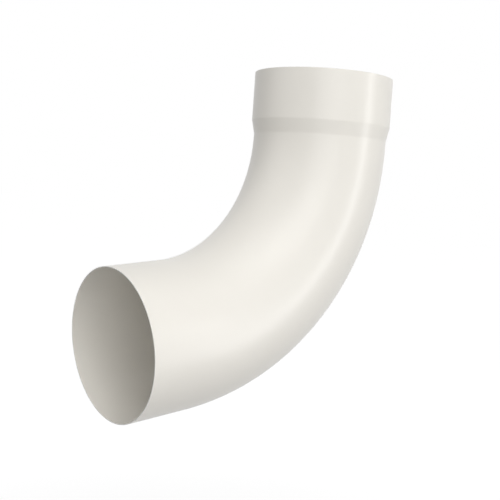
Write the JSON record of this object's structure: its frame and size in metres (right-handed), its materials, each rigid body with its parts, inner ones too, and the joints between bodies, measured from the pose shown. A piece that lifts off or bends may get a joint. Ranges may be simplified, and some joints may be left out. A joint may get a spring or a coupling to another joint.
{
  "type": "downspout elbow",
  "caption": "Round downspout elbow: a smooth bend of coated sheet steel with a widened socket at the upper end and a plain spigot at the lower end.",
  "frame": {"origin": "centre of the socket's mouth, at the upper cut edge", "axes": "+Z along the socket, up and out of its mouth; the pipe bends from -Z towards -X, in the XZ plane, and the spigot leaves 5 degrees below the -X direction"},
  "size_m": [0.229, 0.1044, 0.2422],
  "materials": {
    "coated_steel": "smooth off-white coil coating, satin gloss, inside and out"
  },
  "bodies": {
    "root": {"elbow": "coated_steel"}
  },
  "joints": []
}
